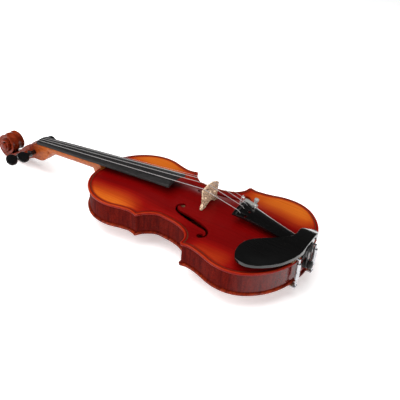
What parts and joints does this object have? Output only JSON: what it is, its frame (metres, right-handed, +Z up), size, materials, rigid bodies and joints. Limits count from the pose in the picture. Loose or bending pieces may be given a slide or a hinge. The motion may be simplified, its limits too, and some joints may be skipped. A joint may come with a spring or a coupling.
{
  "type": "violin",
  "caption": "Full-size violin with sunburst varnish, tuning pegs, bridge, tailpiece with one fine tuner, and a centre-spanning chinrest held by screw clamps.",
  "frame": {"origin": "centre of the bounding box's base, on the level of the scroll's lowest point", "axes": "+X from the scroll to the tail along the body, +Z up out of the top, +Y to the treble side"},
  "size_m": [0.594, 0.2086, 0.1047],
  "materials": {
    "bare_spruce": "bare sawn wood",
    "brass_ball": "turned brass",
    "bridge_maple": "pale unvarnished speckled maple",
    "chrome": "bright chrome plate",
    "cork": "fine cork sheet",
    "ebony": "satin black ebony",
    "ebony_polished": "polished black ebony",
    "maple_varnish": "glossy dark red-brown varnish over flamed maple",
    "neck_maple": "glossy orange-brown varnish over maple",
    "nickel": "bright nickel plate",
    "purfling_wood": "dark inlaid line under varnish",
    "spruce_varnish": "glossy red-brown varnish over spruce, amber at the flanks",
    "string_steel": "finely wound bright metal",
    "tailgut_nylon": "black nylon cord"
  },
  "bodies": {
    "violin": {"back_plate": "maple_varnish", "bass_bar": "bare_spruce", "bridge": "bridge_maple", "chinrest": "ebony_polished", "chinrest_cork": "cork", "clamp_bass_upper_hook": "chrome", "clamp_treble_upper_hook": "chrome", "corner_blocks": "bare_spruce", "end_block": "bare_spruce", "end_button": "ebony", "fingerboard": "ebony", "linings_back": "bare_spruce", "linings_top": "bare_spruce", "neck_and_scroll": "neck_maple", "neck_block": "bare_spruce", "nut": "ebony", "purfling_back": "purfling_wood", "purfling_top": "purfling_wood", "rib_centre_bass": "maple_varnish", "rib_centre_treble": "maple_varnish", "rib_lower_bass": "maple_varnish", "rib_lower_treble": "maple_varnish", "rib_upper_bass": "maple_varnish", "rib_upper_treble": "maple_varnish", "saddle": "ebony", "sound_post": "bare_spruce", "string_a": "string_steel", "string_ball_ends": "brass_ball", "string_d": "string_steel", "string_e": "string_steel", "string_g": "string_steel", "tailgut": "tailgut_nylon", "tailgut_nuts": "tailgut_nylon", "tailpiece": "ebony", "tailpiece_fret": "ebony", "top_plate": "spruce_varnish", "tuner_axle": "nickel", "tuner_frame": "nickel", "tuner_ring_nut": "nickel"},
    "peg_g": {"peg_g": "ebony", "winding_g": "string_steel"},
    "peg_e": {"peg_e": "ebony", "winding_e": "string_steel"},
    "peg_d": {"peg_d": "ebony", "winding_d": "string_steel"},
    "peg_a": {"peg_a": "ebony", "winding_a": "string_steel"},
    "tuner_knob": {"tuner_knob": "nickel"},
    "tuner_screw": {"tuner_screw": "nickel"},
    "tuner_lever": {"tuner_lever": "nickel", "tuner_ball_end": "brass_ball"},
    "clamp_bass_barrel": {"clamp_bass_barrel": "chrome"},
    "clamp_bass_foot": {"clamp_bass_lower_hook": "chrome", "clamp_bass_cork": "cork"},
    "clamp_treble_barrel": {"clamp_treble_barrel": "chrome"},
    "clamp_treble_foot": {"clamp_treble_lower_hook": "chrome", "clamp_treble_cork": "cork"}
  },
  "joints": [
    {"name": "peg_g_turn", "type": "hinge", "parent": "violin", "child": "peg_g", "pos_m": [-0.20832, 0, 0.03701], "axis": [0, 1, 0], "continuous": true},
    {"name": "peg_e_turn", "type": "hinge", "parent": "violin", "child": "peg_e", "pos_m": [-0.22129, 0, 0.03154], "axis": [0, 1, 0], "continuous": true},
    {"name": "peg_d_turn", "type": "hinge", "parent": "violin", "child": "peg_d", "pos_m": [-0.23675, 0, 0.02127], "axis": [0, 1, 0], "continuous": true},
    {"name": "peg_a_turn", "type": "hinge", "parent": "violin", "child": "peg_a", "pos_m": [-0.24941, 0, 0.01301], "axis": [0, 1, 0], "continuous": true},
    {"name": "tuner_knob_turn", "type": "hinge", "parent": "violin", "child": "tuner_knob", "pos_m": [0.19403, 0.014, 0.09467], "axis": [0.1798, 0, 0.9837], "range_deg": [-1297, 0]},
    {"name": "tuner_screw_travel", "type": "slide", "parent": "violin", "child": "tuner_screw", "axis": [-0.1798, 0, -0.9837], "range_m": [0, 0.0018]},
    {"name": "tuner_lever_tilt", "type": "hinge", "parent": "violin", "child": "tuner_lever", "pos_m": [0.17495, 0.014, 0.08149], "axis": [0, 1, 0], "range_deg": [0, 6.6]},
    {"name": "clamp_bass_turn", "type": "hinge", "parent": "violin", "child": "clamp_bass_barrel", "pos_m": [0.2889, -0.029, 0.04607], "axis": [0, 0, 1], "range_deg": [0, 1081]},
    {"name": "clamp_bass_travel", "type": "slide", "parent": "violin", "child": "clamp_bass_foot", "axis": [0, 0, -1], "range_m": [0, 0.0021]},
    {"name": "clamp_treble_turn", "type": "hinge", "parent": "violin", "child": "clamp_treble_barrel", "pos_m": [0.2909, 0.0155, 0.04607], "axis": [0, 0, 1], "range_deg": [0, 1081]},
    {"name": "clamp_treble_travel", "type": "slide", "parent": "violin", "child": "clamp_treble_foot", "axis": [0, 0, -1], "range_m": [0, 0.0021]}
  ],
  "couplings": [
    {"joint": "tuner_knob_turn", "follows": "tuner_screw_travel", "rad_per_m": -12566},
    {"joint": "tuner_lever_tilt", "follows": "tuner_screw_travel", "rad_per_m": 60.976},
    {"joint": "clamp_bass_turn", "follows": "clamp_bass_travel", "rad_per_m": 8976},
    {"joint": "clamp_treble_turn", "follows": "clamp_treble_travel", "rad_per_m": 8976}
  ]
}
